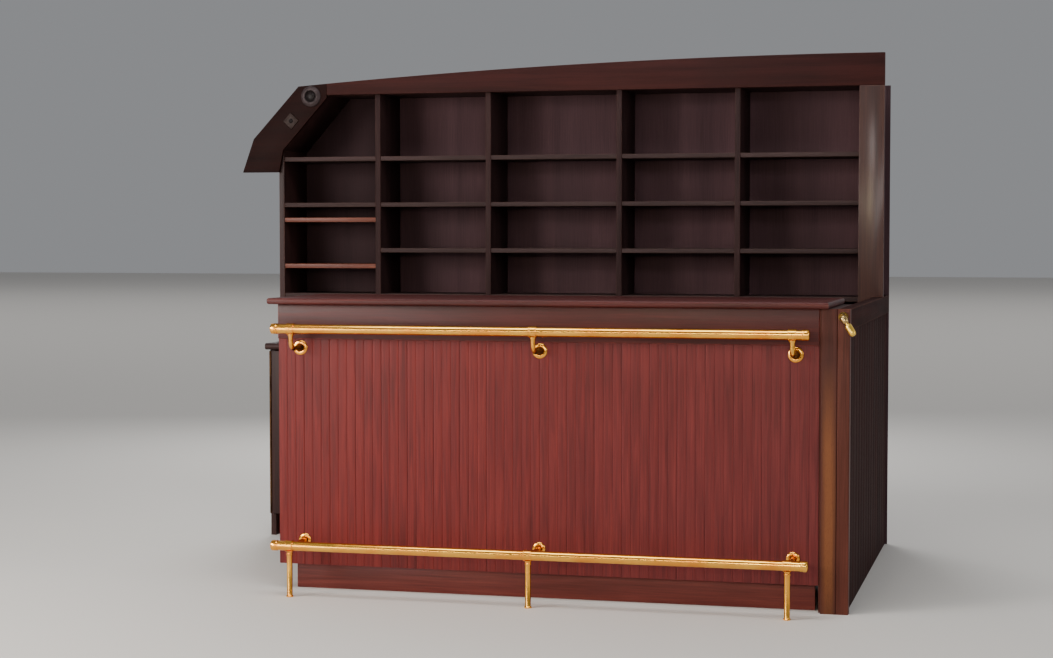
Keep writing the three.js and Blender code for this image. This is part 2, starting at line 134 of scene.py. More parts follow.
class Shader:
    """A node material under construction. Its values are numbers, colours or sockets."""

    def __init__(self, name: str) -> None:
        """Starts the material with an empty tree.

        Args:
            name: the material's name.
        """
        self.material = bpy.data.materials.new(name)
        self.material.use_nodes = True
        self.tree = self.material.node_tree
        self.tree.nodes.clear()

    def node(self, kind: str, inputs: dict | None = None, **settings: object) -> bpy.types.Node:
        """Adds one node and feeds its sockets.

        Args:
            kind: the node's Blender type.
            inputs: a constant or an output socket for each input, by name or number.
            settings: the node's own properties.

        Returns:
            The node.
        """
        node = self.tree.nodes.new(kind)
        for key, value in settings.items():
            setattr(node, key, value)
        for key, value in (inputs or {}).items():
            if isinstance(value, Socket):
                self.tree.links.new(value, node.inputs[key])
            else:
                node.inputs[key].default_value = value
        return node

    @cached_property
    def spot(self) -> Socket:
        """Gives the point being shaded, in the piece's own axes."""
        return self.node("ShaderNodeTexCoord").outputs["Object"]

    @cached_property
    def axes(self) -> Sequence[Socket]:
        """Gives the three coordinates of the point being shaded."""
        return self.node("ShaderNodeSeparateXYZ", {0: self.spot}).outputs

    def worn(self) -> Socket:
        """Gives the share of wear that the mesh marks on its eased edges."""
        return self.node("ShaderNodeAttribute", attribute_name=WEAR).outputs["Fac"]

    def math(self, operation: str, *values: object) -> Socket:
        """Does one sum, by Blender's name of it, on values in order."""
        return self.node("ShaderNodeMath", dict(enumerate(values)), operation=operation).outputs[0]

    def cloud(self, place: Socket, scale: float, detail: float, twist: float = 0.0) -> Socket:
        """Makes noise, 0 to 1, with scale lumps to a metre, detail finer layers and twist in its shape."""
        inputs = {"Vector": place, "Scale": scale, "Detail": detail, "Distortion": twist}
        return self.node("ShaderNodeTexNoise", inputs).outputs[0]

    def stretched(self, place: Socket, grain: Axis, share: float) -> Socket:
        """Squeezes the coordinate along the grain to a share of it, so that noise becomes streaks."""
        inputs = {0: place, 1: grain.point(1.0, 1.0, share)}
        return self.node("ShaderNodeVectorMath", inputs, operation="MULTIPLY").outputs[0]

    def span(self, value: Socket, before: Pair, after: Pair) -> Socket:
        """Maps a value from one range to another, and holds it there."""
        inputs = dict(enumerate((value, *before, *after)))
        return self.node("ShaderNodeMapRange", inputs).outputs[0]

    def mixed(self, share: Socket, one: Socket, other: object, blend: str = "MIX") -> Socket:
        """Mixes two colours by the second one's share, in the way that Blender calls blend."""
        inputs = {0: share, 6: one, 7: other}
        return self.node("ShaderNodeMix", inputs, data_type="RGBA", blend_type=blend).outputs[2]

    def bump(self, height: Socket, depth: float, strength: float) -> Socket:
        """Turns a height, which is depth metres where it is 1, into a normal of that strength."""
        inputs = {"Height": height, "Distance": depth, "Strength": strength}
        return self.node("ShaderNodeBump", inputs).outputs[0]

    def ramp(self, share: Socket, stops: Iterable[tuple[float, Tone]]) -> Socket:
        """Colours a value.

        Args:
            share: the value.
            stops: place and tone of each stop, in order.

        Returns:
            The colour.
        """
        node = self.node("ShaderNodeValToRGB", {0: share})
        elements = node.color_ramp.elements
        for number, (at, tone) in enumerate(stops):
            element = elements[number] if number < len(elements) else elements.new(at)
            element.position = at
            element.color = display(tone)
        return node.outputs[0]

    def done(self, inputs: dict) -> bpy.types.Material:
        """Ends the tree in one principled shader with these inputs, and gives the finished material."""
        self.node("ShaderNodeOutputMaterial", {0: self.node("ShaderNodeBsdfPrincipled", inputs).outputs[0]})
        return self.material


class Finish(Protocol):
    """What a surface is made of and how it is treated."""

    slot: Slot

    def build(self) -> bpy.types.Material:
        """Makes the finish's material."""


@lru_cache(maxsize=None)
def material_of(finish: Finish) -> bpy.types.Material:
    """Gives a finish's material, made once."""
    return finish.build()


@dataclass(frozen=True)
class BoardRow:
    """Boards of one width that follow each other along an axis, cut from timber that differs in tone."""

    axis: Axis
    start: float
    width: float
    spread: float = 0.05

    def shift(self, shader: Shader) -> tuple[Socket, Socket]:
        """Changes the grain and the tone from board to board.

        Args:
            shader: the material's tree.

        Returns:
            The shifted place, and how far the board's tone leans.
        """
        offset = shader.math("SUBTRACT", shader.axes[self.axis.value], self.start)
        number = shader.math("FLOOR", shader.math("DIVIDE", offset, self.width))
        chance = shader.node("ShaderNodeTexWhiteNoise", {"W": number}, noise_dimensions="1D")
        moved = {0: chance.outputs["Color"], 1: BOARD_SHIFT, 2: shader.spot}
        place = shader.node("ShaderNodeVectorMath", moved, operation="MULTIPLY_ADD").outputs[0]
        return place, shader.span(chance.outputs["Value"], (0, 1), (-self.spread / 2, self.spread / 2))


@dataclass(frozen=True)
class PaleStreakAndSunlight:
    """A streak of paler timber that runs up part of a board, also painting sunlight on it.

    Its middle and half its width lie along X. It fades in between the two heights
    of low, and out between those of high.
    """

    middle: float
    half: float
    low: Pair
    high: Pair
    tone: Tone

    def apply(self, shader: Shader, grain: Socket, colour: Socket) -> Socket:
        """Mixes the streak into a colour.

        Args:
            shader: the material's tree.
            grain: the grain's own tone, which frays the streak's edges.
            colour: the colour beside the streak.

        Returns:
            The mixture.
        """
        across, _, up = shader.axes
        off = shader.math("ABSOLUTE", shader.math("SUBTRACT", across, self.middle))
        frayed = shader.math("MULTIPLY_ADD", shader.math("SUBTRACT", grain, 0.5), self.half * 1.2, off)
        side = shader.span(frayed, (self.half * 0.4, self.half * 1.15), (1.0, 0.0))
        low = shader.span(up, self.low, (0.0, 1.0))
        high = shader.span(up, self.high, (1.0, 0.0))
        share = shader.math("MULTIPLY", side, shader.math("MULTIPLY", low, high))
        return shader.mixed(share, colour, display(self.tone))


@dataclass(frozen=True)
class LightFalloffTint:
    """A change of colour along X that paints warm light at the left and duller, greyer shade towards the
    right: over the span, it comes to be multiplied by the tint.
    """

    span: Pair
    tint: Triple

    def apply(self, shader: Shader, colour: Socket) -> Socket:
        """Tints a colour by its place."""
        share = shader.span(shader.axes[Axis.X.value], self.span, (0.0, 1.0))
        return shader.mixed(share, colour, (*self.tint, 1.0), "MULTIPLY")


@dataclass(frozen=True)
class VarnishedWood:
    """Timber under several coats of varnish.

    Its streaks run from deep over middle to pale, and bare is where the varnish has
    worn off an edge. The figure counts broad streaks to a metre, the shine is how
    strongly the wood itself reflects, 0.5 being usual, the coat is the varnish's
    weight, and the gloss is the varnish's own roughness.
    """

    name: str
    slot: Slot
    deep: Tone
    middle: Tone
    pale: Tone
    bare: Tone
    grain: Axis = Axis.Z
    figure: float = 20.0
    roughness: float = 0.38
    shine: float = 0.2
    coat: float = 0.1
    gloss: float = 0.24
    boards: BoardRow | None = None
    streak: PaleStreakAndSunlight | None = None
    ageing: LightFalloffTint | None = None

    def along(self, grain: Axis) -> "VarnishedWood":
        """Gives the same finish with its grain along another axis."""
        return replace(self, grain=grain)

    def other(self, name: str, *tones: Tone, **changes: object) -> "VarnishedWood":
        """Gives another wood by its name, its tones from the deepest on, and what else differs."""
        return replace(self, name=name, **dict(zip(("deep", "middle", "pale", "bare"), tones)), **changes)

    def build(self) -> bpy.types.Material:
        """Makes the material: streaked colour, pores, worn edges, uneven sheen and a coat.

        Returns:
            The material.
        """
        shader = Shader(f"{self.name}_{self.grain.name.lower()}")
        place, lean = self.boards.shift(shader) if self.boards else (shader.spot, 0.0)
        broad = shader.cloud(shader.stretched(place, self.grain, STREAK_SHARE), self.figure, 3.0, 0.6)
        fine = shader.cloud(shader.stretched(place, self.grain, FIBRE_SHARE), FIBRES, 4.0, 0.2)
        pores = shader.cloud(shader.stretched(place, self.grain, STREAK_SHARE), PORES, 1.0)
        patch = shader.cloud(place, PATCHES, 2.0)
        tone = shader.math("MULTIPLY_ADD", fine, 0.4, shader.math("MULTIPLY", broad, 0.6))
        tone = shader.math("ADD", tone, lean)
        tone = shader.math("ADD", tone, shader.span(patch, (0.2, 0.8), (-0.05, 0.05)))
        colour = shader.ramp(tone, ((0.34, self.deep), (0.5, self.middle), (0.68, self.pale)))
        # Painted light and shade along X, where the finish has it.
        if self.ageing:
            colour = self.ageing.apply(shader, colour)
        # A pale streak that also paints sunlight, where the finish has one.
        if self.streak:
            colour = self.streak.apply(shader, tone, colour)
        colour = shader.mixed(shader.span(pores, (0.58, 0.72), (0.0, 0.45)), colour, display(self.deep))
        scuff = shader.span(shader.cloud(place, SCUFFS, 3.0), (0.4, 0.62), (0.12, 0.75))
        worn = shader.math("MULTIPLY", shader.worn(), scuff)
        colour = shader.mixed(worn, colour, display(self.bare))
        sheen = shader.span(shader.math("ADD", patch, fine), (0.7, 1.3), (-0.05, 0.09))
        sheen = shader.math("ADD", shader.math("MULTIPLY_ADD", worn, 0.12, self.roughness), sheen)
        sunk = shader.span(pores, (0.55, 0.75), (0, 0.6))
        height = shader.math("SUBTRACT", shader.math("MULTIPLY", fine, 0.6), sunk)
        return shader.done({
            "Base Color": colour,
            "Roughness": sheen,
            "Specular IOR Level": self.shine,
            "Coat Weight": self.coat,
            "Coat Roughness": self.gloss,
            "Coat IOR": 1.5,
            "Normal": shader.bump(height, 0.0004, 0.5),
        })


@dataclass(frozen=True)
class PolishedBrass:
    """Brass, polished by hand: bright where it was rubbed last, dull and rougher by the smears elsewhere."""

    name: str
    bright: Tone
    dull: Tone
    roughness: float
    smears: float
    slot: Slot = Slot.BRASS

    def build(self) -> bpy.types.Material:
        """Makes the material: patches of tarnish, smears and fine scratches.

        Returns:
            The material.
        """
        shader = Shader(self.name)
        patch = shader.cloud(shader.spot, 9.0, 3.0, 0.3)
        speck = shader.cloud(shader.spot, 240.0, 2.0)
        dullness = shader.math("MULTIPLY_ADD", speck, 0.08, shader.math("MULTIPLY", patch, 0.92))
        scratches = shader.cloud(shader.stretched(shader.spot, Axis.X, 0.12), 1900.0, 1.0)
        return shader.done({
            "Base Color": shader.ramp(dullness, ((0.40, self.bright), (0.66, self.dull))),
            "Metallic": 1.0,
            "Roughness": shader.span(dullness, (0.38, 0.64), (self.roughness, self.roughness + self.smears)),
            "Normal": shader.bump(scratches, 0.0001, 0.12),
        })


@dataclass(frozen=True)
class Enamel:
    """A painted or moulded fitting with a fine speckle and grime in it."""

    name: str
    tone: Tone
    grime: Tone
    roughness: float = 0.45
    slot: Slot = Slot.RING

    def build(self) -> bpy.types.Material:
        """Makes the material: paint with soft patches of dust and a faint texture.

        Returns:
            The material.
        """
        shader = Shader(self.name)
        dust = shader.cloud(shader.spot, 45.0, 4.0)
        return shader.done({
            "Base Color": shader.ramp(dust, ((0.42, self.tone), (0.72, self.grime))),
            "Roughness": shader.span(dust, (0.3, 0.7), (self.roughness - 0.05, self.roughness + 0.12)),
            "Specular IOR Level": 0.12,
            "Normal": shader.bump(shader.cloud(shader.spot, 900.0, 1.0), 0.0001, 0.4),
        })


@dataclass(frozen=True)
class FloorPaint:
    """The studio floor's plain pale paint."""

    name: str = "studio_floor"
    tone: Tone = (214, 210, 204)

    def build(self) -> bpy.types.Material:
        """Makes the plain matt material."""
        return Shader(self.name).done({"Base Color": display(self.tone), "Roughness": 0.7})


# The front's colour turns duller and greyer towards the right: painted shade against painted warm light at
# the left end.
RED = VarnishedWood(
    "red_mahogany", Slot.MAHOGANY, (81, 21, 20), (100, 27, 25), (115, 35, 31), (124, 47, 38),
    figure=64.0, coat=0.06, gloss=0.3, ageing=LightFalloffTint((-0.4, 1.4), (0.88, 1.45, 1.70)),
)
APRON_RED = RED.other(
    "apron_mahogany", (54, 19, 17), (70, 25, 23), (88, 34, 30), figure=30.0, coat=0.12, ageing=None,
)
PLINTH_RED = RED.other(
    "plinth_mahogany", (78, 32, 27), (98, 42, 36), (116, 54, 46), slot=Slot.DARK, figure=30.0, ageing=None,
)
POST_RED = PLINTH_RED.other(
    "post_mahogany", (64, 33, 27), (82, 44, 36), (100, 54, 44), shine=0.1, coat=0.0,
)
# The inner post strip: its darker base paints shade under the counter top, and its pale streak is partly
# paler timber and partly painted sunlight.
LIT_AND_SHADED_POST_WOOD = POST_RED.other(
    "lit_and_shaded_post_wood", (54, 28, 24), (68, 37, 32), (84, 46, 39), slot=Slot.WARM,
    streak=PaleStreakAndSunlight(1.4068, 0.0264, (-0.10, 0.12), (0.62, 0.94), (117, 72, 46)),
)
DARK = VarnishedWood(
    "dark_mahogany", Slot.DARK, (34, 17, 16), (48, 27, 25), (62, 36, 33), (84, 56, 48),
    roughness=0.55, gloss=0.35,
)
BOARD_DARK = DARK.other("board_mahogany", roughness=0.7, shine=0.05, coat=0.0)
SHEET = DARK.other(
    "sheet_mahogany", (55, 37, 41), (70, 49, 53), (84, 60, 64),
    figure=7.0, roughness=0.65, shine=0.12, coat=0.0,
)
# A darker copy of the back sheet for the left bay: painted shade.
SHADED_LEFT_SHEET = SHEET.other("shaded_left_sheet_mahogany", (39, 25, 28), (50, 34, 37), (60, 42, 45))
UPRIGHT = DARK.other(
    "upright_mahogany", (30, 17, 17), (42, 26, 26), (54, 36, 35), (64, 42, 37), shine=0.1, coat=0.0,
)
SHELF = UPRIGHT.other("shelf_mahogany", (39, 28, 28), (52, 39, 38), (64, 49, 48), (74, 54, 49))
FASCIA_RED = UPRIGHT.other(
    "fascia_mahogany", (34, 13, 12), (46, 19, 17), (58, 26, 23), (66, 36, 30), slot=Slot.MAHOGANY,
)
# A darker copy of the fascia's timber for the raking board: painted shade.
SHADED_RAKING_RED = FASCIA_RED.other(
    "shaded_raking_mahogany", (22, 8, 7), (30, 12, 10), (38, 16, 14), (48, 26, 22), shine=0.06,
)
STILE = DARK.other("stile_mahogany", (40, 22, 19), (55, 31, 26), (70, 43, 35), coat=0.4, gloss=0.2)
WARM = VarnishedWood(
    "warm_wood", Slot.WARM, (74, 36, 27), (94, 48, 36), (114, 62, 46), (128, 74, 54),
    figure=34.0, coat=0.08,
)
# The rail brass is deeper orange than the metal's own colour: painted warm reflection of a floor.
BRASS = PolishedBrass("rail_brass_warm_reflection", (255, 190, 78), (240, 158, 60), 0.14, 0.09)
# Dark brass: tarnish on screws and the keyhole plate, and painted shade in the rosettes' dishes and at the
# bracket arms' lower ends.
OLD_AND_SHADED_BRASS = PolishedBrass("old_and_shaded_brass", (112, 68, 40), (60, 32, 22), 0.36, 0.2)
PLATE_BRASS = PolishedBrass("plate_brass", (126, 98, 50), (74, 56, 28), 0.3, 0.2)
SNAP_BRASS = PolishedBrass("snap_brass", (255, 216, 100), (236, 182, 70), 0.24, 0.1)
KNUCKLE_BRASS = PolishedBrass("knuckle_brass", (196, 164, 108), (126, 98, 58), 0.24, 0.1)
HINGE_BRASS = PolishedBrass("hinge_brass", (96, 68, 44), (56, 38, 28), 0.42, 0.2)
GREY = Enamel("grey_ring", (60, 50, 51), (43, 35, 36))
BUTTON = Enamel("brown_plate", (40, 26, 22), (32, 21, 18))
BLACK = Enamel("black_baffle", (20, 15, 16), (30, 24, 24), 0.6)
LENS = Enamel("smoked_lens", (20, 15, 16), (27, 21, 22), 0.35)


# Outlines


def arc(centre: Pair, radius: float, first: float, last: float, steps: int = 5) -> list[Pair]:
    """Gives the points of an arc between two angles in degrees, in that many chords."""
    angles = [math.radians(first + (last - first) * i / steps) for i in range(steps + 1)]
    return [(centre[0] + radius * math.cos(a), centre[1] + radius * math.sin(a)) for a in angles]


def circle(radius: float, sides: int) -> list[Pair]:
    """Gives the points of a circle round the origin, or the origin alone where the radius is 0."""
    return arc((0, 0), radius, 0, 360, sides)[:-1] if radius > 0 else [(0, 0)]


def dome(radius: float, rise: float, base: float) -> list[Pair]:
    """Gives a low dome's profile, from its top on the axis to its rim at the base."""
    return [(radius * up, base - rise * out) for out, up in arc((0, 0), 1.0, 0, 90, 6)]


def rectangle(low: Pair, high: Pair, axis: Axis, at: float, inset: float = 0.0) -> list[Vector]:
    """Gives the corners of a rectangle square to an axis, smaller by the inset on each side."""
    (a, b), (c, d) = (low[0] + inset, low[1] + inset), (high[0] - inset, high[1] - inset)
    return [axis.point(u, v, at) for u, v in ((a, b), (c, b), (c, d), (a, d))]


# Mesh parts, each one closed solid


def blank() -> Part:
    """Starts a part that can mark wear on its faces.

    Returns:
        The empty part.
    """
    part = bmesh.new()
    part.faces.layers.float.new(WEAR)
    return part


def skin(rings: Sequence[Sequence[Vector]], smooth: bool | None = None, looped: bool = False) -> Part:
    """Joins rings of points to a solid.

    Args:
        rings: the rings, all of one length, or of a single point where they lie on an axis.
        smooth: whether the sides are curved; left out, the narrow ones are.
        looped: whether the last ring joins the first one, in place of a face at each end.

    Returns:
        The part.
    """
    part = blank()
    loops = [[part.verts.new(point) for point in ring] for ring in rings]
    count = max(len(loop) for loop in loops)
    for one, other in zip(loops, loops[1:] + (loops[:1] if looped else [])):
        for i in range(count):
            j = (i + 1) % count
            corners = [one[i % len(one)], one[j % len(one)], other[j % len(other)], other[i % len(other)]]
            narrow = (corners[0].co - corners[1].co).length < CURVE_CHORD
            part.faces.new(list(dict.fromkeys(corners))).smooth = narrow if smooth is None else smooth
    for loop in () if looped else (loops[0], loops[-1]):
        if len(loop) > 2:
            part.faces.new(loop)
    bmesh.ops.recalc_face_normals(part, faces=part.faces)
    return part


def ease_edges(part: Part, ease: float) -> Part:
    """Rounds a part's outward corners and marks them as worn.

    Args:
        part: the part.
        ease: the radius, or 0 to leave the edges sharp.

    Returns:
        The same part.
    """
    if ease > 0:
        sharp = [e for e in part.edges if e.is_convex and e.calc_face_angle(0.0) > EASE_ANGLE]
        shape = {"segments": EASE_STEPS, "profile": 0.5, "affect": "EDGES", "clamp_overlap": True}
        wear = part.faces.layers.float[WEAR]
        for face in bmesh.ops.bevel(part, geom=sharp, offset=ease, **shape)["faces"]:
            face.smooth = True
            face[wear] = 1.0
    return part


def prism(outline: Outline, axis: Axis, start: float, end: float, ease: float) -> Part:
    """Makes a straight solid along an axis from its outline in the two other coordinates, edges eased."""
    return ease_edges(skin([[axis.point(u, v, at) for u, v in outline] for at in (start, end)]), ease)


def block(low: Iterable[float], high: Iterable[float], ease: float) -> Part:
    """Makes a board between its lowest and its highest corner, edges eased."""
    (x, y, z), (right, back, top) = low, high
    return prism([(x, y), (right, y), (right, back), (x, back)], Axis.Z, z, top, ease)


def lathe(profile: Outline, axis: Axis, centre: Iterable[float], sides: int) -> Part:
    """Turns a profile about an axis.

    Args:
        profile: radius and height of each point, from axis to axis, or else a closed ring.
        axis: the axis.
        centre: the point on the axis with height 0.
        sides: how many sides make the round.

    Returns:
        The part.
    """
    start = Vector(centre)
    rings = [[start + axis.point(u, v, rise) for u, v in circle(radius, sides)] for radius, rise in profile]
    return skin(rings, True, profile[0][0] > 0)


def tube(path: Sequence[tuple[Vector, float]], sides: int) -> Part:
    """Sweeps a round section along a path that lies square to X.

    Args:
        path: each point of the middle line and the radius there.
        sides: how many sides make the round.

    Returns:
        The part.
    """
    rings = []
    for i, (point, radius) in enumerate(path):
        before, after = path[max(i - 1, 0)][0], path[min(i + 1, len(path) - 1)][0]
        side = (after - before).normalized().cross(RIGHT)
        rings.append([point + u * RIGHT + v * side for u, v in circle(radius, sides)])
    return skin(rings, True)


def terrace(low: Pair, high: Pair, axis: Axis, steps: Outline) -> Part:
    """Stacks rectangles along an axis by their inset and place, as on a raised panel."""
    return skin([rectangle(low, high, axis, at, inset) for inset, at in steps], False)


def mitred(corners: Sequence[Vector], normal: Vector, profile: Outline) -> list[Part]:
    """Runs a moulding round a frame, mitred at its corners.

    Args:
        corners: the frame's outer corners, anticlockwise about the normal.
        normal: the direction that the moulding stands up in.
        profile: the moulding's closed outline, as inset from the frame's edge and lift along the normal.

    Returns:
        One part for each side, in the order of the corners.
    """
    after = [*corners[1:], corners[0]]
    inward = [normal.cross((b - a).normalized()) for a, b in zip(corners, after)]
    sections = []
    for corner, one, other in zip(corners, [inward[-1], *inward], inward):
        mitre = (one + other) / (1 + one.dot(other))
        sections.append([corner + inset * mitre + lift * normal for inset, lift in profile])
    return [skin(ends) for ends in zip(sections, [*sections[1:], sections[0]])]


def from_node(name: str, ease: float) -> Part:
    """Copies a node's solid from the frame and eases its edges.

    Args:
        name: the node.
        ease: the radius of the edges.

    Returns:
        The part.
    """
    part = blank()
    data = bpy.data.objects[name].data
    points = [part.verts.new(vertex.co) for vertex in data.vertices]
    for face in data.polygons:
        part.faces.new([points[i] for i in face.vertices])
    bmesh.ops.remove_doubles(part, verts=part.verts, dist=WELD)
    bmesh.ops.dissolve_limit(part, angle_limit=FLAT_ANGLE, verts=part.verts, edges=part.edges)
    return ease_edges(part, ease)


def turned_to(part: Part, centre: Vector, way: Vector, spin: float = 0.0) -> Part:
    """Moves a part made about Z at the origin, and turns its Z axis another way.

    Args:
        part: the part.
        centre: where its origin goes.
        way: where its Z axis points.
        spin: how far it turns about that direction, in degrees.

    Returns:
        The same part.
    """
    turn = Matrix.Rotation(math.radians(spin), 4, way) @ way.to_track_quat("Z", "Y").to_matrix().to_4x4()
    bmesh.ops.transform(part, matrix=Matrix.Translation(centre) @ turn, verts=part.verts)
    return part


def turned(profile: Outline, centre: Vector, way: Vector, sides: int) -> Part:
    """Turns a profile about any direction, from its radii and its distances from the centre."""
    return turned_to(lathe(profile, Axis.Z, (0, 0, 0), sides), centre, way)


def screw_head(centre: Vector, way: Vector, radius: float = 0.0032) -> list[Part]:
    """Makes a slotted screw head: a low disc under two halves with the slot between them.

    Args:
        centre: where it sits on the surface.
        way: the direction that it faces.
        radius: its radius.

    Returns:
        Its parts.
    """
    height = radius * 0.35
    slot = math.degrees(math.asin(SCREW_SLOT))
    parts = [turned([(0, -height), (radius, -height), (radius, 0), (0, 0)], centre, way, 20)]
    for side in (0, 180):
        half = arc((0, 0), radius * 0.96, side + slot, side + 180 - slot, 10)
        parts.append(turned_to(prism(half, Axis.Z, 0, height, 0), centre, way))
    return parts


# Pieces


class Piece:
    """One visible piece while it is made, with the finishes of its parts."""

    def __init__(self, name: str, body: str = ROOT_BODY) -> None:
        """Starts an empty piece.

        Args:
            name: the piece's name.
            body: the body that it moves with.
        """
        self.name = name
        self.body = body
        self.finishes: list[Finish] = []
        self.points: list[Vector] = []
        self.faces: list[list[int]] = []
        self.marks: list[tuple[int, bool, float]] = []

    def add(self, parts: Part | Iterable[Part], finish: Finish) -> "Piece":
        """Adds parts in one finish.

        Args:
            parts: a part or several; they are used up.
            finish: their finish.

        Returns:
            The piece itself.
        """
        if finish not in self.finishes:
            self.finishes.append(finish)
        for part in [parts] if isinstance(parts, Part) else parts:
            part.verts.index_update()
            first = len(self.points)
            wear = part.faces.layers.float[WEAR]
            self.points += [vertex.co.copy() for vertex in part.verts]
            self.faces += [[first + v.index for v in face.verts] for face in part.faces]
            self.marks += [(self.finishes.index(finish), face.smooth, face[wear]) for face in part.faces]
            part.free()
        return self

    def done(self, *nodes: str) -> bpy.types.Object:
        """Makes the object and puts it on its body.

        Args:
            nodes: the frame's nodes that it stands for.

        Returns:
            The object.
        """
        data = bpy.data.meshes.new(self.name)
        data.from_pydata(self.points, [], self.faces)
        for finish in self.finishes:
            data.materials.append(material_of(finish))
        numbers, smooth, wear = zip(*self.marks)
        data.polygons.foreach_set("material_index", numbers)
        data.polygons.foreach_set("use_smooth", smooth)
        data.attributes.new(WEAR, "FLOAT", "FACE").data.foreach_set("value", wear)
        data.set_sharp_from_angle(angle=SHARP_ANGLE)
        made = bpy.data.objects.new(self.name, data)
        bpy.context.scene.collection.objects.link(made)
        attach(made, self.body)
        if nodes:
            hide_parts(*nodes)
        return made


@dataclass(frozen=True)
class Dressed:
    """A board that keeps the form of its node, with eased edges and a finish."""

    node: str
    finish: Finish
    ease: float = EASE

    def build(self) -> Made:
        """Makes the board."""
        return [Piece(f"{self.node}_board").add(from_node(self.node, self.ease), self.finish).done(self.node)]


# The counter


@dataclass
class CounterTop:
    """The counter's top: a veneered board inside a solid, mitred lipping with a rounded nose."""

    lipping: float = 0.045
    nose: float = 0.008
    joint: float = 0.0006

    def build(self) -> Made:
        """Makes the board and its lipping.

        Returns:
            The two pieces.
        """
        low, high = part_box("counter_top")
        inset, thick = Vector((self.lipping, self.lipping, 0)), high.z - low.z
        board = Piece("counter_top_board")
        board.add(block(low + inset, high - inset, self.joint), APRON_RED.along(Axis.X))
        profile = [
            (self.lipping, 0), *arc((self.nose, self.nose), self.nose, 270, 180),
            *arc((self.nose, thick - self.nose), self.nose, 180, 90), (self.lipping, thick),
        ]
        rim = Piece("counter_top_lipping")
        sides = mitred(rectangle(low.xy, high.xy, Axis.Z, low.z), UP, profile)
        for side, grain in zip(sides, (Axis.X, Axis.Y) * 2):
            rim.add(side, APRON_RED.along(grain))
        return [board.done("counter_top"), rim.done()]


@dataclass
class BeadedBoards:
    """Narrow upright boards that follow each other across a node's face, each with low beads.

    A bead rises over a rounded shoulder on each side to its crown. The groove is the
    depth between two beads of a board, and the joint the depth between two boards.
    """

    node: str
    across: Axis
    count: int
    beads: int = 3
    shoulder: float = 0.0011
    groove: float = 0.0013
    joint: float = 0.0021
    crown: float = 0.0002

    def edge(self, depth: float) -> list[Pair]:
        """Gives a shoulder's section from that depth up to the crown, as place across and depth."""
        rise = depth - self.crown
        return [(self.shoulder * (1 - c), depth - rise * s) for c, s in arc((0, 0), 1.0, 0, 90, 4)]

    def bead(self, start: float, width: float, left: float, right: float) -> list[Pair]:
        """Gives one bead's section, as place across and depth under the face.

        Args:
            start: where the bead begins.
            width: how wide it is.
            left: the groove's depth at its left.
            right: the groove's depth at its right.

        Returns:
            The section's points, left to right.
        """
        half = width / 2 - self.shoulder
        rising = [(start + place, depth) for place, depth in self.edge(left)]
        middle = [(start + width / 2 + half * k / 3, self.crown * (k / 3) ** 2) for k in range(-2, 3)]
        falling = [(start + width - place, depth) for place, depth in reversed(self.edge(right))]
        return rising + middle + falling

    def build(self) -> Made:
        """Makes the row of boards as one piece.

        Returns:
            The piece.
        """
        low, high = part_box(self.node)
        u, v = (0, 1) if self.across is Axis.X else (1, 0)
        thick, width = high[v] - low[v], (high[u] - low[u]) / self.count
        step = width / self.beads
        depths = [self.joint, *[self.groove] * (self.beads - 1), self.joint]
        finish = replace(RED, boards=BoardRow(self.across, low[u], width))
        row = Piece(f"{self.node}_boards")
        for number in range(self.count):
            start = low[u] + number * width
            section = [(start, thick)]
            for k in range(self.beads):
                section += self.bead(start + k * step, step, depths[k], depths[k + 1])
            section.append((start + width, thick))
            outline = [(place, low[v] + depth)[::1 if u == 0 else -1] for place, depth in section]
            row.add(prism(outline, Axis.Z, low.z, high.z, 0), finish)
        return [row.done(self.node)]


@dataclass
class CornerPost:
    """The two strips of the corner post, with rounded corners so that a groove shows between them.

    A tongue of the inner strip closes the shadow gap beside the boards and the apron,
    sunk behind the face that it meets.
    """

    corner: float = 0.0045
    gap: float = 0.008
    sunk: float = 0.0030
    ease: float = 0.0006

    def build(self) -> Made:
        """Makes the two strips.

        Returns:
            The two pieces.
        """
        low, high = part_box("corner_post_inner")
        boards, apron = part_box("counter_front")[0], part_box("counter_apron")[0]
        inner = Piece("corner_post_inner_strip").add(self.strip(low + self.gap * RIGHT, high), LIT_AND_SHADED_POST_WOOD)
        for face, bottom, top in ((boards.y, low.z, apron.z), (apron.y, apron.z, high.z)):
            tongue = block((low.x, face + self.sunk, bottom), (low.x + self.gap, high.y, top), 0)
            inner.add(tongue, POST_RED)
        outer = Piece("corner_post_outer_strip").add(self.strip(*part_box("corner_post_outer")), POST_RED)
        return [inner.done("corner_post_inner"), outer.done("corner_post_outer")]

    def strip(self, low: Vector, high: Vector) -> Part:
        """Makes one strip with a rounded face.

        Args:
            low: its lowest corner.
            high: its highest corner.

        Returns:
            The part.
        """
        r = self.corner
        left = arc((low.x + r, low.y + r), r, 180, 270)
        right = arc((high.x - r, low.y + r), r, 270, 360)
        return prism([(low.x, high.y), *left, *right, (high.x, high.y)], Axis.Z, low.z, high.z, self.ease)


@dataclass
class PartitionBoards:
    """The low partition's upright boards, eased to a vee at each joint on both faces."""

    count: int = 16
    vee: float = 0.0025

    def build(self) -> Made:
        """Makes the boards as one piece.

        Returns:
            The piece.
        """
        low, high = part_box("partition_panel")
        width = (high.y - low.y) / self.count
        finish = replace(BOARD_DARK, boards=BoardRow(Axis.Y, low.y, width))
        row = Piece("partition_boards")
        for number in range(self.count):
            y = low.y + number * width
            row.add(block((low.x, y, low.z), (high.x, y + width, high.z), self.vee), finish)
        return [row.done("partition_panel")]


# Brass


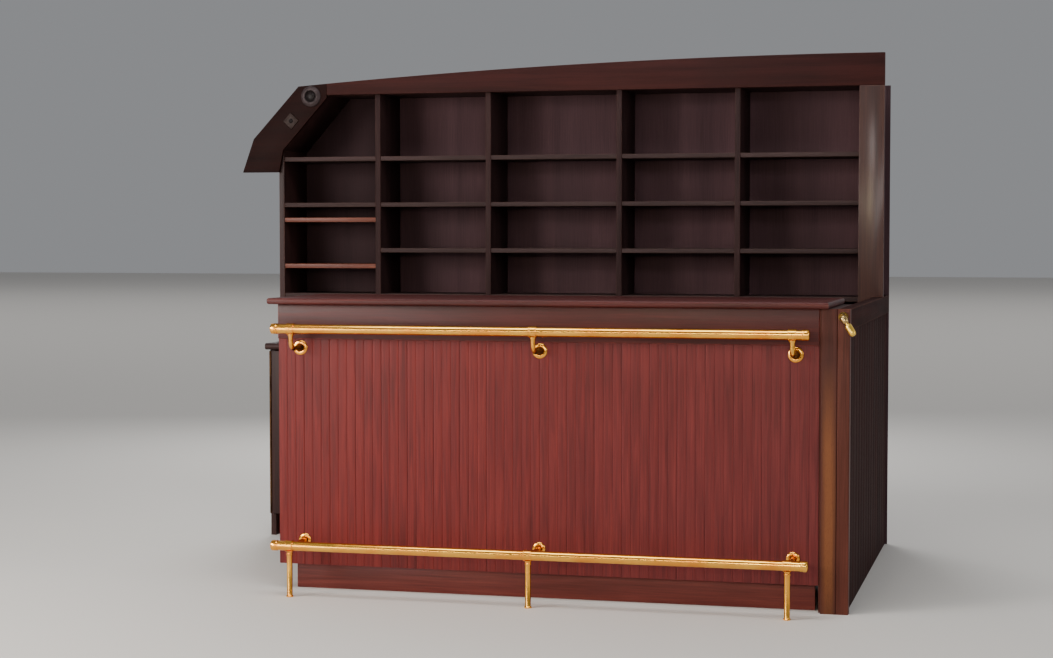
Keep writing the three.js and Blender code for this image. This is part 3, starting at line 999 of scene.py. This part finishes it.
@dataclass
class BrassRail:
    """A polished tube with a turned cap at each end, and the bands that hold it.

    The lip is how far a cap stands over the tube. Of a band, half is half its width,
    wall how far its rims stand over the tube, and play the gap inside it.
    """

    node: str
    lip: float = 0.002
    cap: float = 0.030
    half: float = 0.015
    wall: float = 0.004
    play: float = 0.0003

    @property
    def radius(self) -> float:
        """Gives the tube's radius."""
        low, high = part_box(self.node)
        return (high.z - low.z) / 2 - self.lip

    @property
    def middle(self) -> Vector:
        """Gives the tube's middle."""
        low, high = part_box(self.node)
        return (low + high) / 2

    def band(self, x: float) -> Part:
        """Makes the band of a bracket or a stand.

        Args:
            x: the place of its middle.

        Returns:
            The part.
        """
        outer, half = self.radius + self.wall, self.half
        side = [
            (self.radius + self.play, half), (outer - 0.0008, half), (outer, half - 0.0008),
            (outer, half - 0.0036), (outer - 0.0008, half - 0.0044), (outer - 0.0014, half - 0.0048),
        ]
        profile = [(radius, -height) for radius, height in side] + side[::-1]
        return lathe(profile, Axis.X, (x, self.middle.y, self.middle.z), 48)

    def build(self) -> Made:
        """Makes the rail as one turned piece.

        Returns:
            The piece.
        """
        low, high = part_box(self.node)
        outer, cap = self.radius + self.lip, self.cap
        left = [
            *dome(outer, 0.007, 0.007), (outer, cap - 0.011), (outer - 0.0012, cap - 0.0095),
            (outer - 0.0012, cap - 0.008), (outer, cap - 0.0065), (outer, cap - 0.002),
            (outer - 0.0006, cap - 0.0006), (self.radius, cap), (self.radius, cap + 0.004),
        ]
        right = [(radius, high.x - low.x - height) for radius, height in reversed(left)]
        whole = lathe(left + right, Axis.X, (low.x, self.middle.y, self.middle.z), 56)
        return [Piece(f"{self.node}_tube").add(whole, BRASS).done(self.node)]


@dataclass(frozen=True)
class Rosette:
    """A round foot that faces -Y: a bright ring with three screws round a dished middle and its hub, the dish
    dark brass as painted shade.

    The rise is how far the hub stands off the panel, and rim is the ring's share of the radius.
    """

    radius: float
    rise: float
    rim: float = 0.54

    def dress(self, piece: Piece, centre: Vector) -> None:
        """Adds the rosette to a bracket or a stand.

        Args:
            piece: the bracket or stand.
            centre: the rosette's middle, on the panel's face.
        """
        r, rise = self.radius, self.rise
        hub, inner, width = r * 0.36, r * (1 - self.rim), r * self.rim
        crest = (inner + width * 0.45, -0.0060)
        dish = [
            (0, -rise), (hub * 0.8, -rise), (hub * 0.95, -rise + 0.0008), (hub, -rise + 0.002),
            (hub * 1.04, -rise * 0.5), (hub * 1.12, -0.0016), (inner, -0.0014), (inner, 0), (0, 0),
        ]
        ring = [
            (inner, 0), (inner, -0.0036), (inner + width * 0.06, -0.0048), (inner + width * 0.2, -0.0058),
            crest, (inner + width * 0.72, -0.0050), (inner + width * 0.9, -0.0034),
            (r * 0.995, -0.0018), (r, -0.0010), (r, 0),
        ]
        # The dish in dark brass paints shade in the rosette's hollow.
        piece.add(lathe(dish, Axis.Y, centre, 40), OLD_AND_SHADED_BRASS).add(lathe(ring, Axis.Y, centre, 48), BRASS)
        for angle in (90, 210, 330):
            across, up = arc((0, 0), crest[0], angle, angle, 1)[0]
            piece.add(screw_head(centre + Vector((across, crest[1], up)), FORWARD, r * 0.08), OLD_AND_SHADED_BRASS)


@dataclass
class HandRailBracket:
    """One of the hand rail's brackets: band, bent arm and rosette.

    The arm's path is bright brass down to the point that bright counts, and dark brass below it, painted
    shade where it goes into the rosette.
    """

    rail: BrassRail
    number: int
    arm: float = 0.009
    bend: float = 0.034
    bright: int = 12

    def build(self) -> Made:
        """Makes the bracket.

        Returns:
            The piece.
        """
        node = f"hand_rail_bracket_{self.number}"
        low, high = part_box(node)
        x, foot, face = (low.x + high.x) / 2, (high.x - low.x) / 2, high.y
        z = low.z + foot
        rail = self.rail.middle
        top = rail.z - self.rail.radius - 0.001
        turn = arc((rail.y + self.bend, z + self.bend), self.bend, 180, 270, 12)
        upper = [(rail.y, top), (rail.y, top - 0.006), (rail.y, top - 0.010)]
        line = [*upper, *turn, (face - 0.010, z), (face - 0.004, z)]
        swell = [1.35, 1.3, 1.0] + [1.0] * len(turn) + [1.0, 1.25]
        path = [(Vector((x, y, height)), self.arm * k) for (y, height), k in zip(line, swell)]
        made = Piece(f"{node}_brass").add(self.rail.band(x), BRASS)
        made.add(tube(path[:self.bright], 32), BRASS).add(tube(path[self.bright - 1:], 32), OLD_AND_SHADED_BRASS)
        Rosette(foot, rise=0.010).dress(made, Vector((x, face, z)))
        grub = Vector((x, rail.y - (self.rail.radius + 0.0024), rail.z))
        return [made.add(screw_head(grub, FORWARD, 0.0026), OLD_AND_SHADED_BRASS).done(node)]


@dataclass
class FootRailStand:
    """One of the foot rail's stands: band, post to the floor, and arm back to a rosette."""

    rail: BrassRail
    number: int
    post: float = 0.011
    arm: float = 0.008

    def build(self) -> Made:
        """Makes the stand.

        Returns:
            The piece.
        """
        node = f"foot_rail_stand_{self.number}"
        low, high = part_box(node)
        x, foot, face = (low.x + high.x) / 2, (high.x - low.x) / 2, high.y
        z = high.z - foot
        rail = self.rail.middle
        r, top = self.post, rail.z - self.rail.radius - 0.0008
        profile = [
            (0, 0), (0.0134, 0), (0.014, 0.0007), (0.014, 0.0045), (0.0132, 0.0056),
            (r + 0.0006, 0.0066), (r, 0.0085), (r, top - 0.016), (r + 0.002, top - 0.0145),
            (r + 0.0026, top - 0.012), (r + 0.002, top - 0.0095), (r, top - 0.008),
            (r + 0.001, top - 0.003), (r + 0.0035, top), (0, top),
        ]
        start = rail.y + self.rail.radius + 0.001
        swell = [1.5, 1.45, 1.0, 1.0, 1.3]
        line = zip([start, start + 0.004, start + 0.008, face - 0.016, face - 0.008], swell)
        path = [(Vector((x, y, z)), self.arm * k) for y, k in line]
        made = Piece(f"{node}_brass").add(self.rail.band(x), BRASS)
        made.add(lathe(profile, Axis.Z, (x, rail.y, 0), 36), BRASS).add(tube(path, 28), BRASS)
        Rosette(foot, rise=0.014).dress(made, Vector((x, face, z)))
        return [made.done(node)]


@dataclass
class RopeHook:
    """The brass rope hook on the corner post: plate, eye, swivel knuckle and a stout hanging snap.

    Plate, eye, wire and barrel are radii. The snap's axis starts at its reach in front
    of the plate's back and leans from there, and the thumb piece sits down the snap.
    """

    plate: float = 0.019
    eye: float = 0.0115
    wire: float = 0.0038
    barrel: float = 0.0131
    reach: float = 0.022
    lean: Vector = Vector((0.53, -0.12, -0.84)).normalized()
    thumb: float = 0.046

    def build(self) -> Made:
        """Makes the hook as one piece.

        Returns:
            The piece.
        """
        low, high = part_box("rope_hook")
        r = self.plate
        centre = Vector((low.x + r, high.y, high.z - r))
        plate = [
            (0, -0.005), (r * 0.5, -0.005), (r * 0.58, -0.0036), (r * 0.74, -0.0034), (r * 0.84, -0.0048),
            (r * 0.94, -0.0044), (r * 0.99, -0.0026), (r, -0.001), (r, 0), (0, 0),
        ]
        made = Piece("rope_hook_brass").add(lathe(plate, Axis.Y, centre, 40), PLATE_BRASS)
        for side in (-1, 1):
            made.add(screw_head(centre + Vector((0, -0.0034, side * r * 0.66)), FORWARD, 0.0022), OLD_AND_SHADED_BRASS)
        section = arc((self.eye, 0), self.wire, 0, 330, 11)
        made.add(lathe(section, Axis.X, centre + FORWARD * (0.0045 + self.eye), 32), PLATE_BRASS)
        start = centre + FORWARD * self.reach
        made.add(turned(self.knuckle(), start, self.lean, 32), KNUCKLE_BRASS)
        made.add(turned(self.snap(), start, self.lean, 36), SNAP_BRASS)
        thumb = [
            (0, 0), (0.0028, 0), (0.0028, 0.0024), (0.0036, 0.0034), (0.0036, 0.0052),
            (0.0026, 0.0062), (0, 0.0062),
        ]
        aside = RIGHT.cross(self.lean).normalized()
        seat = start + self.lean * self.thumb + aside * self.barrel * 0.9
        return [made.add(turned(thumb, seat, aside, 20), PLATE_BRASS).done("rope_hook")]

    def knuckle(self) -> list[Pair]:
        """Gives the knuckle's profile, as radius and distance from the eye."""
        return [
            (0, -0.0060), (0.0060, -0.0052), (0.0102, -0.0020), (0.0122, 0.0030), (0.0128, 0.0080),
            (0.0128, 0.0140), (0.0122, 0.0190), (0.0104, 0.0235), (0.0080, 0.0262), (0.0064, 0.0275),
            (0, 0.0275),
        ]

    def snap(self) -> list[Pair]:
        """Gives the snap's profile, as radius and distance from the eye."""
        b = self.barrel
        return [
            (0, 0.0270), (0.0064, 0.0270), (0.0064, 0.0320), (0.0104, 0.0335), (b - 0.0012, 0.0355),
            (b, 0.0390), (b, 0.0690), (b - 0.0006, 0.0720), (b - 0.0020, 0.0750), (0.0086, 0.0785),
            (0.004, 0.0800), (0, 0.0803),
        ]


# The back bar


@dataclass
class Worktop:
    """The back bar's worktop with a rounded nosing."""

    node: str = "back_worktop"

    def build(self) -> Made:
        """Makes the worktop.

        Returns:
            The piece.
        """
        low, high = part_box(self.node)
        r = (high.z - low.z) / 2
        outline = [*arc((low.y + r, low.z + r), r, 270, 90, 12), (high.y, high.z), (high.y, low.z)]
        made = Piece(f"{self.node}_board").add(prism(outline, Axis.X, low.x, high.x, 0), DARK.along(Axis.X))
        return [made.done(self.node)]


@dataclass
class CupboardDoor:
    """A framed door with a raised panel, a turned knob and a long hinge.

    The slab is its thickness, the stile the width of its frame, the margin how deep the
    panel lies under the frame, and the bevel the width of the panel's slope. The drop
    leads from the door's top to the knob, and the key from there down to the keyhole.
    """

    number: int
    slab: float = 0.020
    stile: float = 0.060
    moulding: float = 0.007
    margin: float = 0.006
    bevel: float = 0.024
    drop: float = 0.104
    key: float = 0.052
    knuckle: float = 0.038

    def build(self) -> Made:
        """Makes the door, its knob and its hinge."""
        return [self.leaf(), self.knob(), self.hinge()]

    @property
    def faces(self) -> tuple[Vector, Vector]:
        """Gives the slab's lowest and highest corners, without the knob."""
        low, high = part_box(f"cupboard_door_{self.number}")
        return Vector((low.x, high.y - self.slab, low.z)), high

    def leaf(self) -> bpy.types.Object:
        """Makes the framed door itself.

        Returns:
            The piece.
        """
        low, high = self.faces
        s, m = self.stile, self.moulding
        made = Piece(f"cupboard_door_{self.number}_leaf", f"door_{self.number}")
        for left in (low.x, high.x - s):
            made.add(block((left, low.y, low.z), (left + s, high.y, high.z), 0.0014), DARK)
        for bottom in (low.z, high.z - s):
            rail = block((low.x + s, low.y, bottom), (high.x - s, high.y, bottom + s), 0.0008)
            made.add(rail, DARK.along(Axis.X))
        opening = (low.x + s, low.z + s), (high.x - s, high.z - s)
        ovolo = [(0, -self.margin - 0.002), (0, 0), *arc((0, -m), m, 80, 10), (m, -self.margin - 0.002)]
        made.add(mitred(rectangle(*opening, Axis.Y, low.y), FORWARD, ovolo), DARK)
        field, floor, rise = low.y + 0.0008, low.y + self.margin, m + self.bevel
        steps = [
            (0, high.y - 0.004), (0, floor), (m + 0.002, floor), (rise + 0.002, field + 0.0016),
            (rise + 0.0028, field), (rise + 0.004, field),
        ]
        return made.add(terrace(*opening, Axis.Y, steps), DARK).done(f"cupboard_door_{self.number}")

    def knob(self) -> bpy.types.Object:
        """Makes the turned knob on its rose, and the keyhole plate under it.

        Returns:
            The piece.
        """
        low, high = self.faces
        seat = Vector((high.x - self.stile / 2, low.y, high.z - self.drop))
        under = seat - self.key * UP
        profile = [
            (0, -0.031), (0.007, -0.0306), (0.012, -0.029), (0.0155, -0.026), (0.0165, -0.0225),
            (0.0155, -0.019), (0.012, -0.016), (0.0085, -0.0135), (0.0072, -0.010), (0.0075, -0.006),
            (0.010, -0.0042), (0.0155, -0.0032), (0.017, -0.002), (0.0172, 0), (0, 0),
        ]
        plate = [(0, -0.0014), (0.0085, -0.0014), (0.0095, -0.0006), (0.0098, 0), (0, 0)]
        hole = [*arc((0, 0.001), 0.0022, -50, 230, 10), (-0.0010, -0.0052), (0.0010, -0.0052)]
        keyhole = prism([(under.x + a, under.z + b) for a, b in hole], Axis.Y, under.y - 0.0017, under.y, 0)
        made = Piece(f"door_knob_{self.number}", f"door_{self.number}")
        made.add(lathe(profile, Axis.Y, seat, 36), BRASS).add(lathe(plate, Axis.Y, under, 28), OLD_AND_SHADED_BRASS)
        return made.add(keyhole, BLACK).done()

    def hinge(self) -> bpy.types.Object:
        """Makes the long hinge: a leaf on the carcass and a row of knuckles.

        Returns:
            The piece.
        """
        node = f"door_hinge_{self.number}"
        low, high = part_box(node)
        r = (high.x - low.x) / 2
        made = Piece(f"{node}_brass")
        count = round((high.z - low.z) / self.knuckle)
        step = (high.z - low.z) / count
        length = step - 0.0008
        profile = [
            (0, 0), (r - 0.0005, 0), (r, 0.0005), (r, length - 0.0005), (r - 0.0005, length), (0, length),
        ]
        for k in range(count):
            pin = (low.x + r, low.y + r, low.z + k * step + 0.0004)
            made.add(lathe(profile, Axis.Z, pin, 20), HINGE_BRASS)
        leaf = block((low.x + 0.0005, low.y + r, low.z), (low.x + 0.0035, high.y, high.z), 0.0005)
        return made.add(leaf, HINGE_BRASS).done(node)


@dataclass
class BackSheets:
    """The back panel: plain sheets that meet behind the uprights, cut to the slant at the upper left.

    Their rear faces lie sunk inside the panel, so that the screw heads stay within it.
    The margin leads from a joint to its screws, and each joint has a row of them on each side.
    """

    sunk: float = 0.0014
    joint: float = 0.0010
    margin: float = 0.022
    screws: int = 9

    def build(self) -> Made:
        """Makes the sheets as one piece, and their screws as another.

        Returns:
            The two pieces.
        """
        low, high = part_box("back_panel")
        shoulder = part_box("left_cheek")[1].z
        peak = min(v.co.x for v in bpy.data.objects["back_panel"].data.vertices if v.co.z > high.z - WELD)
        slope = (high.z - shoulder) / (peak - low.x)
        rear = high.y - self.sunk
        boxes = [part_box(f"upright_{number}") for number in (1, 2, 3, 4)]
        joints = [low.x, *((a.x + b.x) / 2 for a, b in boxes), high.x]
        sheets, screws = Piece("back_panel_sheets"), Piece("back_panel_screws")

        def top(x: float) -> float:
            """Gives the height of the panel's upper edge."""
            return min(high.z, shoulder + (x - low.x) * slope)

        for left, right in zip(joints, joints[1:]):
            stops = [left, peak, right] if left < peak < right else [left, right]
            outline = [(left, low.z), *((x, top(x)) for x in stops), (right, low.z)]
            # The left bay's sheet is darker, as painted shade.
            finish = SHADED_LEFT_SHEET if left < boxes[0][0].x < right else SHEET
            sheets.add(prism(outline, Axis.Y, low.y, rear, self.joint), finish)
            for x in (left + self.margin, right - self.margin):
                first, last = low.z + self.margin, top(x) - 2 * self.margin
                for k in range(self.screws):
                    z = first + (last - first) * k / (self.screws - 1)
                    screws.add(screw_head(Vector((x, rear, z)), BACK), HINGE_BRASS)
        return [sheets.done("back_panel"), screws.done()]


@dataclass
class RoundFitting:
    """The round light on the raking board: ring with its bore, baffle and lens, both sizes radii."""

    bore: float = 0.027
    lens: float = 0.019

    def build(self) -> Made:
        """Makes the ring, and the baffle with its lens.

        Returns:
            The two pieces.
        """
        low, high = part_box("round_fitting")
        centre = Vector(((low.x + high.x) / 2, high.y, (low.z + high.z) / 2))
        outer, rise, bore, lens = (high.x - low.x) / 2, high.y - low.y, self.bore, self.lens
        ring = [
            (bore, 0), (outer, 0), (outer, -0.004), (outer - 0.001, -0.0065), (outer - 0.004, -0.0085),
            (outer - 0.007, -0.0105), (outer - 0.010, -rise + 0.001), (outer - 0.013, -rise),
            (bore + 0.004, -rise), (bore + 0.001, -rise + 0.001), (bore, -rise + 0.003),
        ]
        baffle = [
            (0, -0.0005), (bore, -0.0005), (bore, -0.009), (bore - 0.0015, -0.009), (lens + 0.002, -0.003),
            (lens, -0.003), (0, -0.003),
        ]
        glass = [*dome(lens, 0.005, -0.003), (0, -0.003)]
        bright = Piece("round_fitting_ring").add(lathe(ring, Axis.Y, centre, 64), GREY)
        dark = Piece("round_fitting_lens").add(lathe(baffle, Axis.Y, centre, 48), BLACK)
        return [bright.done("round_fitting"), dark.add(lathe(glass, Axis.Y, centre, 40), LENS).done()]


@dataclass
class SwitchPlate:
    """The small square plate with a round button on the raking board.

    Its middle lies across and up from the board's lowest right corner. Half is half its
    side, and the spin is its turn in degrees, anticlockwise from the front.
    """

    across: float = -0.176
    up: float = 0.239
    half: float = 0.028
    spin: float = -42.0

    def build(self) -> Made:
        """Makes the plate and its button.

        Returns:
            The piece.
        """
        low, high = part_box("raking_board")
        centre = Vector((high.x + self.across, low.y, low.z + self.up))
        steps = [
            (0, 0), (0, 0.003), (0.0012, 0.0052), (0.0035, 0.006), (0.0075, 0.006),
            (0.0085, 0.0052), (0.010, 0.0052),
        ]
        button = [
            (0, 0.004), (0.0098, 0.004), (0.0098, 0.0068), (0.0088, 0.0078), (0.0066, 0.0092),
            (0.003, 0.0104), (0, 0.0108),
        ]
        plate = terrace((-self.half, -self.half), (self.half, self.half), Axis.Z, steps)
        made = Piece("switch_plate")
        for part, finish in ((plate, BUTTON), (lathe(button, Axis.Z, (0, 0, 0), 32), BLACK)):
            made.add(turned_to(part, centre, FORWARD, self.spin), finish)
        return [made.done()]


def plain_boards() -> list[Dressed]:
    """Lists the boards that keep their node's form, with the way their grain runs.

    Returns:
        The boards, in building order.
    """
    dark = DARK.along(Axis.X)
    single = (
        ("counter_apron", APRON_RED.along(Axis.X), 0.0025), ("counter_right_end", DARK, EASE),
        ("counter_floor", dark, EASE), ("counter_plinth", PLINTH_RED.along(Axis.X), 0.001),
        ("counter_shelf", dark, EASE), ("partition_rail", BOARD_DARK.along(Axis.Y), 0.004),
        ("cupboard_floor", dark, EASE), ("cupboard_plinth", dark, EASE),
        ("cupboard_left_end", DARK, EASE), ("left_cheek", DARK, 0.002), ("right_cheek", DARK, 0.002),
        ("top_board", dark, EASE), ("slant_board", DARK, EASE),
        ("fascia", FASCIA_RED.along(Axis.X), 0.002), ("raking_board", SHADED_RAKING_RED.along(Axis.X), 0.002),
        ("rear_stile", STILE, 0.0025),
    )
    rows = (
        ("counter_divider", 2, DARK, EASE), ("cupboard_divider", 4, DARK, EASE),
        ("upright", 4, UPRIGHT, 0.002), ("shelf_row", 4, SHELF.along(Axis.X), 0.002),
        ("left_bay_shelf", 2, WARM.along(Axis.X), 0.002),
    )
    numbered = [(f"{node}_{i + 1}", *look) for node, count, *look in rows for i in range(count)]
    return [Dressed(*board) for board in (*single, *numbered)]


# Studio


@dataclass(frozen=True)
class SoftBox:
    """A large soft light in its place, turned to its aim; power in watts and spread in degrees."""

    name: str
    place: Triple
    aim: Triple
    size: Pair
    power: float
    colour: Triple = (1.0, 1.0, 1.0)
    spread: float = 180.0

    def hang(self) -> None:
        """Makes the light."""
        data = bpy.data.lights.new(self.name, "AREA")
        data.shape = "RECTANGLE"
        data.size, data.size_y = self.size
        data.energy = self.power
        data.color = self.colour
        data.spread = math.radians(self.spread)
        hang_at(bpy.data.objects.new(self.name, data), Vector(self.place), Vector(self.aim))


def hang_at(made: bpy.types.Object, place: Vector, aim: Vector) -> None:
    """Puts a light or a camera in its place and turns it to its aim.

    Args:
        made: the light or the camera.
        place: where it goes.
        aim: the point that it faces.
    """
    made.location = place
    made.rotation_euler = (aim - place).to_track_quat("-Z", "Y").to_euler()
    bpy.context.scene.collection.objects.link(made)


@dataclass
class Studio:
    """Floor, lights, sky and camera.

    The floor reaches as far each way. The eye is the camera's place from the post's front
    outer corner on the floor, and the lens its focal length in millimetres.
    """

    reach: float = 60.0
    sky: Tone = (206, 208, 212)
    glow: float = 0.42
    eye: Triple = (0.7256, -7.5612, 1.406)
    aim: Triple = (0.045, 0.0, 1.005)
    lens: float = 70.0

    def lights(self) -> list[SoftBox]:
        """Lists the lights."""
        return [
            SoftBox("key", (-3.8, -4.5, 2.3), (-0.3, -0.4, 0.9), (2.2, 1.6), 225.0, (1.0, 0.94, 0.88)),
            SoftBox("window", (-3.2, -6.1, 0.75), (-0.6, -0.8, 0.6), (1.5, 1.1), 55.0, (1.0, 0.88, 0.90)),
            SoftBox("strip", (-1.0, -7.2, 1.9), (-0.2, -0.9, 0.9), (5.6, 0.2), 62.0, (1.0, 0.92, 0.70)),
            SoftBox("gleam", (0.5, -7.15, 1.95), (1.25, -0.9, 0.7), (0.6, 0.8), 20.0, (1.0, 0.87, 0.50)),
            SoftBox("bays", (1.1, -3.0, 2.5), (0.40, 1.0, 1.62), (0.5, 0.5), 1.3, (1.0, 0.97, 0.96), 40.0),
            SoftBox("front", (2.6, -7.6, 2.0), (0.2, 0.8, 1.5), (2.0, 1.0), 55.0, (1.0, 0.97, 0.94)),
            SoftBox("glint", (0.88, -6.4, 2.35), (1.4, 0.66, 1.6), (0.14, 1.3), 8.0, (0.96, 0.97, 1.0)),
            SoftBox("fill", (6.4, -1.9, 2.3), (0.2, 0.6, 1.4), (2.0, 1.8), 82.0, (0.94, 0.96, 1.0)),
            SoftBox("overhead", (0.0, -2.4, 4.8), (0.0, -0.4, 0.0), (3.6, 1.6), 130.0),
            SoftBox("behind", (-1.5, 5.5, 3.4), (0.0, 0.9, 1.0), (3.0, 2.0), 160.0),
            SoftBox("horizon", (0.0, 22.0, 14.0), (0.0, 22.5, 0.0), (60.0, 30.0), 3000.0),
        ]

    def build(self) -> Made:
        """Sets up the studio and its camera.

        Returns:
            The floor.
        """
        for light in self.lights():
            light.hang()
        self.hang_sky()
        self.set_camera()
        data = bpy.data.meshes.new("studio_floor")
        r = self.reach
        data.from_pydata([(-r, -r, 0), (r, -r, 0), (r, r, 0), (-r, r, 0)], [], [(0, 1, 2, 3)])
        data.materials.append(FloorPaint().build())
        floor = bpy.data.objects.new("studio_floor", data)
        bpy.context.scene.collection.objects.link(floor)
        return [floor]

    def hang_sky(self) -> None:
        """Sets the even light that comes from all round."""
        world = bpy.data.worlds.new("studio_sky")
        world.use_nodes = True
        background = world.node_tree.nodes["Background"].inputs
        background["Color"].default_value = display(self.sky)
        background["Strength"].default_value = self.glow
        bpy.context.scene.world = world

    def set_camera(self) -> None:
        """Puts the camera where the photograph was taken from, and turns it to the bar."""
        low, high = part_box("corner_post_outer")
        data = bpy.data.cameras.new("camera")
        data.lens = self.lens
        camera = bpy.data.objects.new("camera", data)
        hang_at(camera, Vector((high.x, low.y, 0)) + Vector(self.eye), Vector(self.aim))
        bpy.context.scene.camera = camera


def main() -> None:
    """Builds the bar's looks around the frame and reports each piece."""
    logging.basicConfig(level=logging.INFO, format="%(name)s: %(message)s")
    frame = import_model()
    hand_rail = BrassRail("hand_rail")
    foot_rail = BrassRail("foot_rail")
    assemblies = [
        Studio(),
        CounterTop(),
        BeadedBoards("counter_front", Axis.X, count=20),
        BeadedBoards("counter_left_end", Axis.Y, count=5),
        CornerPost(),
        PartitionBoards(),
        hand_rail,
        foot_rail,
        *(HandRailBracket(hand_rail, number) for number in (1, 2, 3)),
        *(FootRailStand(foot_rail, number) for number in (1, 2, 3)),
        RopeHook(),
        Worktop(),
        BackSheets(),
        *plain_boards(),
        *(CupboardDoor(number) for number in range(1, 6)),
        RoundFitting(),
        SwitchPlate(),
    ]
    for assembly in assemblies:
        for piece in assembly.build():
            LOG.info("%s: %d faces", piece.name, len(piece.data.polygons))
    shown = [name for name, node in frame["nodes"].items() if not node.hide_render]
    LOG.info("nodes still shown: %s", ", ".join(shown) or "none")


if __name__ == "__main__":
    main()
